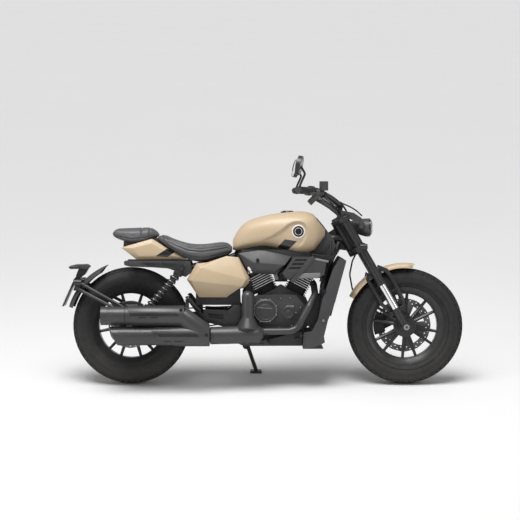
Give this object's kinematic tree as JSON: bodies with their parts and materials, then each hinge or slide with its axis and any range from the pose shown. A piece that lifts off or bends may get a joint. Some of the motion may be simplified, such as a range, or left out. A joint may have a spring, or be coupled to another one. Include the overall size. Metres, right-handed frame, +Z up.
{
  "type": "cruiser motorcycle",
  "caption": "Cruiser motorcycle with a V engine, parked leaning on its side stand; wheels, steering and stand move.",
  "frame": {"origin": "bottom centre of the whole machine's box, on the ground", "axes": "+X to the front of the machine, +Y to the rider's left, +Z up; the machine leans 9 degrees to its left"},
  "size_m": [2.2144, 0.9351, 1.3029],
  "materials": {
    "sand_paint": "matt sand paint",
    "frame_black": "satin black powder coat",
    "grey_casting": "dark grey casting",
    "dark_plastic": "grained dark grey plastic",
    "exhaust_black": "satin black heat paint",
    "fork_chrome": "hard chrome",
    "bright_steel": "machined steel",
    "spring_steel": "black paint",
    "core_black": "black radiator core",
    "tyre_rubber": "black rubber",
    "black_rubber": "black rubber",
    "seat_leather": "dark grey grained cover",
    "lens": "clear",
    "lamp_red": "red lens",
    "plate_white": "blank plate"
  },
  "bodies": {
    "chassis": {"frame_spine": "frame_black", "frame_cradle": "frame_black", "pivot_plates": "frame_black", "seat_rails": "grey_casting", "rack_bosses": "grey_casting", "swingarm": "frame_black", "rear_axle": "bright_steel", "shock_dampers": "frame_black", "shock_springs": "spring_steel", "engine_case": "grey_casting", "cylinders": "grey_casting", "belt": "black_rubber", "exhaust_headers": "exhaust_black", "mufflers": "exhaust_black", "muffler_shield": "exhaust_black", "radiator": "core_black", "radiator_shroud": "dark_plastic", "fuel_tank": "sand_paint", "tank_cap": "bright_steel", "air_covers": "dark_plastic", "front_covers": "dark_plastic", "airbox": "dark_plastic", "side_cases": "sand_paint", "battery_box": "dark_plastic", "seat_rider": "seat_leather", "seat_pillion": "seat_leather", "tail_cowl": "sand_paint", "rear_fender": "dark_plastic", "fender_arms": "frame_black", "number_plate": "plate_white", "tail_lamp": "lamp_red", "rear_caliper": "frame_black", "rider_pegs": "frame_black"},
    "fork": {"triple_clamps": "frame_black", "fork_tubes": "frame_black", "stanchions": "fork_chrome", "fork_feet": "frame_black", "front_axle": "bright_steel", "fender_bracket": "frame_black", "front_fender": "sand_paint", "headlight": "dark_plastic", "headlight_lens": "lens", "handlebar": "frame_black", "grips": "black_rubber", "hand_controls": "dark_plastic", "mirrors": "frame_black", "gauge": "dark_plastic", "front_caliper": "frame_black", "brake_hose": "black_rubber"},
    "front_wheel": {"front_rim": "frame_black", "front_disc": "bright_steel", "front_tyre": "tyre_rubber"},
    "rear_wheel": {"rear_rim": "frame_black", "rear_disc": "bright_steel", "rear_tyre": "tyre_rubber"},
    "side_stand": {"side_stand": "frame_black"}
  },
  "joints": [
    {"name": "steering", "type": "hinge", "parent": "chassis", "child": "fork", "pos_m": [0.46393, -0.06258, 0.78912], "axis": [-0.5, 0.1355, 0.8554], "range_deg": [-33, 33]},
    {"name": "front_wheel_spin", "type": "hinge", "parent": "fork", "child": "front_wheel", "pos_m": [0.7883, -0.13733, 0.31717], "axis": [0, 0.9877, -0.1564], "continuous": true},
    {"name": "rear_wheel_spin", "type": "hinge", "parent": "chassis", "child": "rear_wheel", "pos_m": [-0.7267, -0.13686, 0.32013], "axis": [0, 0.9877, -0.1564], "continuous": true},
    {"name": "side_stand_fold", "type": "hinge", "parent": "chassis", "child": "side_stand", "pos_m": [-0.0892, -0.01397, 0.18828], "axis": [0.0824, 0.9266, 0.3669], "range_deg": [0, 100]}
  ]
}
